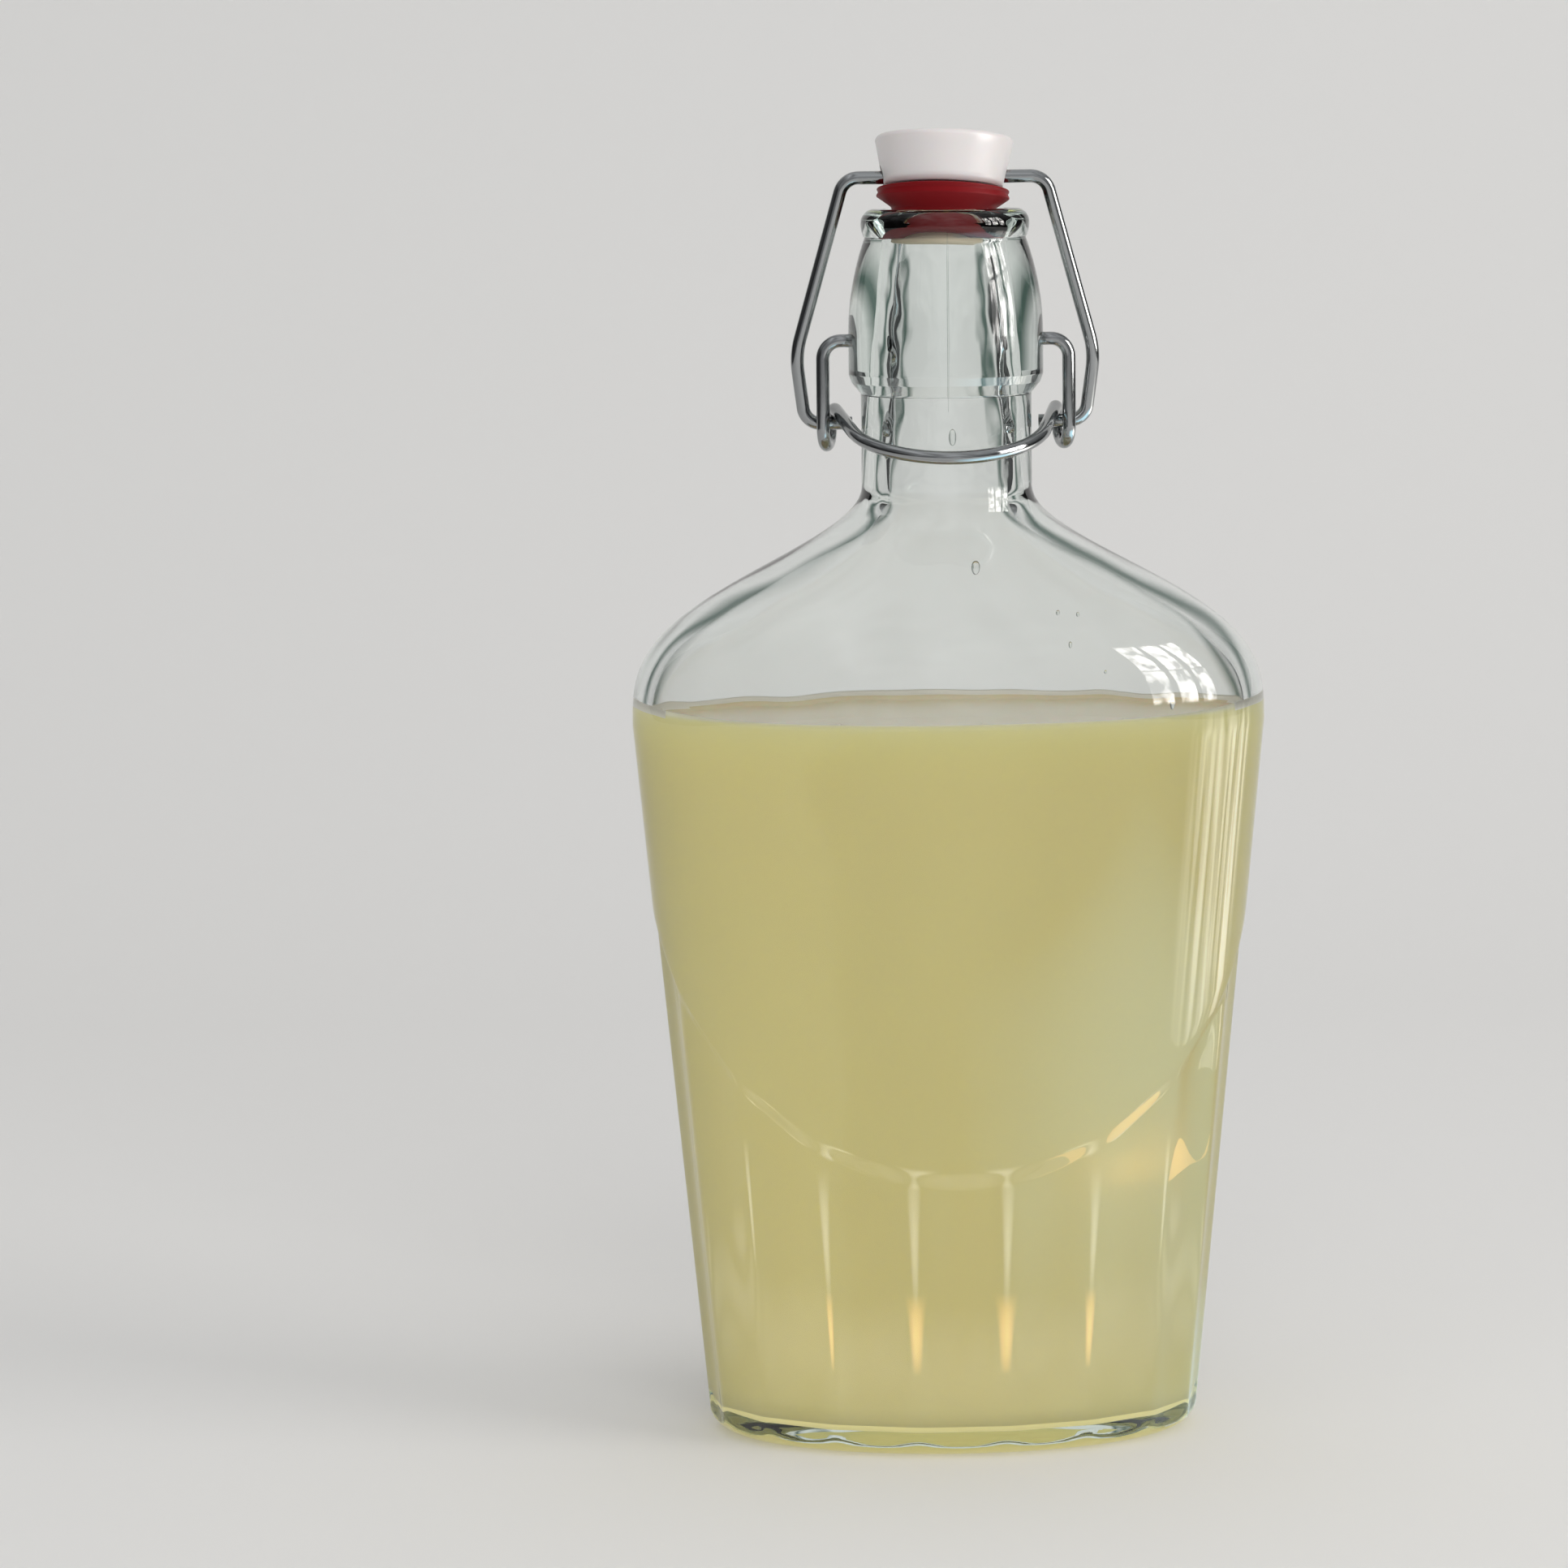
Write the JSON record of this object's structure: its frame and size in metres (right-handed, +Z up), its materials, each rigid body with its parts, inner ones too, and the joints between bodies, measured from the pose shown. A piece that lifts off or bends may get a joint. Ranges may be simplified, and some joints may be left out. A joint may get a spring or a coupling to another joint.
{
  "type": "swing top bottle",
  "caption": "Flat oval clear glass bottle with a faceted foot and a swing top: hinged wire lever and bail, white stopper and red rubber gasket.",
  "frame": {"origin": "middle of the base, on the surface the bottle stands on", "axes": "+Z up along the neck, +X across the wide side, the thumb bow of the lever towards -Y"},
  "size_m": [0.106, 0.062, 0.2196],
  "materials": {
    "clear_glass": "clear, glossy",
    "steel_wire": "bright drawn wire",
    "white_cap": "glossy white",
    "red_rubber": "soft matte"
  },
  "bodies": {
    "bottle": {"glass_bottle": "clear_glass"},
    "lever": {"lever_wire": "steel_wire"},
    "bail": {"bail_wire": "steel_wire"},
    "closure": {"stopper": "white_cap", "gasket": "red_rubber"}
  },
  "joints": [
    {"name": "lever_hinge", "type": "hinge", "parent": "bottle", "child": "lever", "pos_m": [0, 0, 0.1846], "axis": [-1, 0, 0], "range_deg": [0, 105]},
    {"name": "hook_hinge", "type": "hinge", "parent": "lever", "child": "bail", "pos_m": [0, 0.00287, 0.17075], "axis": [-1, 0, 0], "range_deg": [-70.35, 0]},
    {"name": "stopper_hinge", "type": "hinge", "parent": "bail", "child": "closure", "pos_m": [0, 0, 0.21145], "axis": [-1, 0, 0], "range_deg": [-42, 0]}
  ],
  "couplings": [
    {"joint": "hook_hinge", "follows": "lever_hinge", "ratio": -0.67},
    {"joint": "stopper_hinge", "follows": "lever_hinge", "ratio": -0.4}
  ]
}
